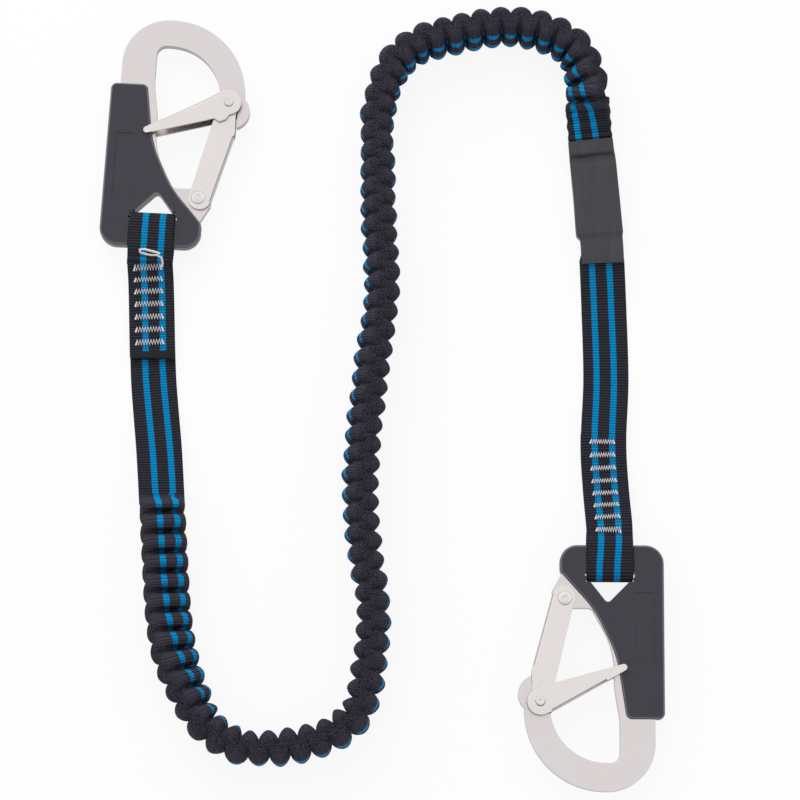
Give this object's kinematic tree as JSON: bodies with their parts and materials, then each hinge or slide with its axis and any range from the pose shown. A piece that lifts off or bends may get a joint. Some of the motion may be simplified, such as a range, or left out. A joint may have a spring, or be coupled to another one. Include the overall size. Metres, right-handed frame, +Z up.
{
  "type": "elasticated safety tether",
  "caption": "Gathered elastic webbing safety tether with a flat double-action snap hook sewn to each end; a squeezed lever unlocks and swings each gate inward.",
  "frame": {"origin": "on the surface the tether lies on, midway between the two hooks in plan", "axes": "+Y along the long direction of the two hooks, toward the bow of hook a; +X toward hook b; +Z up, square to the hook plates"},
  "size_m": [0.3102, 0.4383, 0.0282],
  "materials": {
    "plate_steel": "satin, tumbled edges",
    "sheet_steel": "satin",
    "rivet_steel": "polished domed heads",
    "spring_steel": "bright drawn wire",
    "grip_plastic": "matte slate grey, fine moulded grain",
    "webbing": "ribbed black weave with two blue stripes",
    "thread": "light grey polyester thread",
    "core_rubber": "flat elastic strip",
    "sleeve_plastic": "satin dark grey shrink tube"
  },
  "bodies": {
    "strap": {"webbing_a": "webbing", "tail_a": "webbing", "bartacks_a": "thread", "elastic_section": "webbing", "elastic_core": "core_rubber", "lap_end": "webbing", "lap_stitching": "thread", "sleeve": "sleeve_plastic", "webbing_b": "webbing", "tail_b": "webbing", "bartacks_b": "thread"},
    "hook_a": {"hook_plate_a": "plate_steel", "grip_a": "grip_plastic", "gate_rivet_a": "rivet_steel", "eye_a": "webbing"},
    "swing_gate_a": {"gate_a": "sheet_steel", "lever_rivet_a": "rivet_steel", "lever_spring_a": "spring_steel"},
    "lock_lever_a": {"lever_a": "sheet_steel"},
    "hook_b": {"hook_plate_b": "plate_steel", "grip_b": "grip_plastic", "gate_rivet_b": "rivet_steel", "eye_b": "webbing"},
    "swing_gate_b": {"gate_b": "sheet_steel", "lever_rivet_b": "rivet_steel", "lever_spring_b": "spring_steel"},
    "lock_lever_b": {"lever_b": "sheet_steel"}
  },
  "joints": [
    {"name": "hook_a_swing", "type": "hinge", "parent": "strap", "child": "hook_a", "pos_m": [-0.12676, 0.07992, 0.0076], "axis": [0.9987, -0.0506, 0], "range_deg": [-75, 75]},
    {"name": "gate_a_hinge", "type": "hinge", "parent": "hook_a", "child": "swing_gate_a", "pos_m": [-0.1005, 0.11193, 0.0076], "axis": [0, 0, 1], "range_deg": [0, 28], "stiffness_Nm_per_rad": 0.12, "springref_deg": -28.65},
    {"name": "lever_a_hinge", "type": "hinge", "parent": "swing_gate_a", "child": "lock_lever_a", "pos_m": [-0.08399, 0.16706, 0.0076], "axis": [0, 0, 1], "range_deg": [0, 42]},
    {"name": "hook_b_swing", "type": "hinge", "parent": "strap", "child": "hook_b", "pos_m": [0.12607, -0.0797, 0.0076], "axis": [-1, 0.0052, 0], "range_deg": [-75, 75]},
    {"name": "gate_b_hinge", "type": "hinge", "parent": "hook_b", "child": "swing_gate_b", "pos_m": [0.10129, -0.11287, 0.0076], "axis": [0, 0, 1], "range_deg": [0, 28], "stiffness_Nm_per_rad": 0.12, "springref_deg": -28.65},
    {"name": "lever_b_hinge", "type": "hinge", "parent": "swing_gate_b", "child": "lock_lever_b", "pos_m": [0.0873, -0.1687, 0.0076], "axis": [0, 0, 1], "range_deg": [0, 42]}
  ],
  "couplings": [
    {"joint": "lever_a_hinge", "follows": "gate_a_hinge", "ratio": 1.5},
    {"joint": "lever_b_hinge", "follows": "gate_b_hinge", "ratio": 1.5}
  ]
}
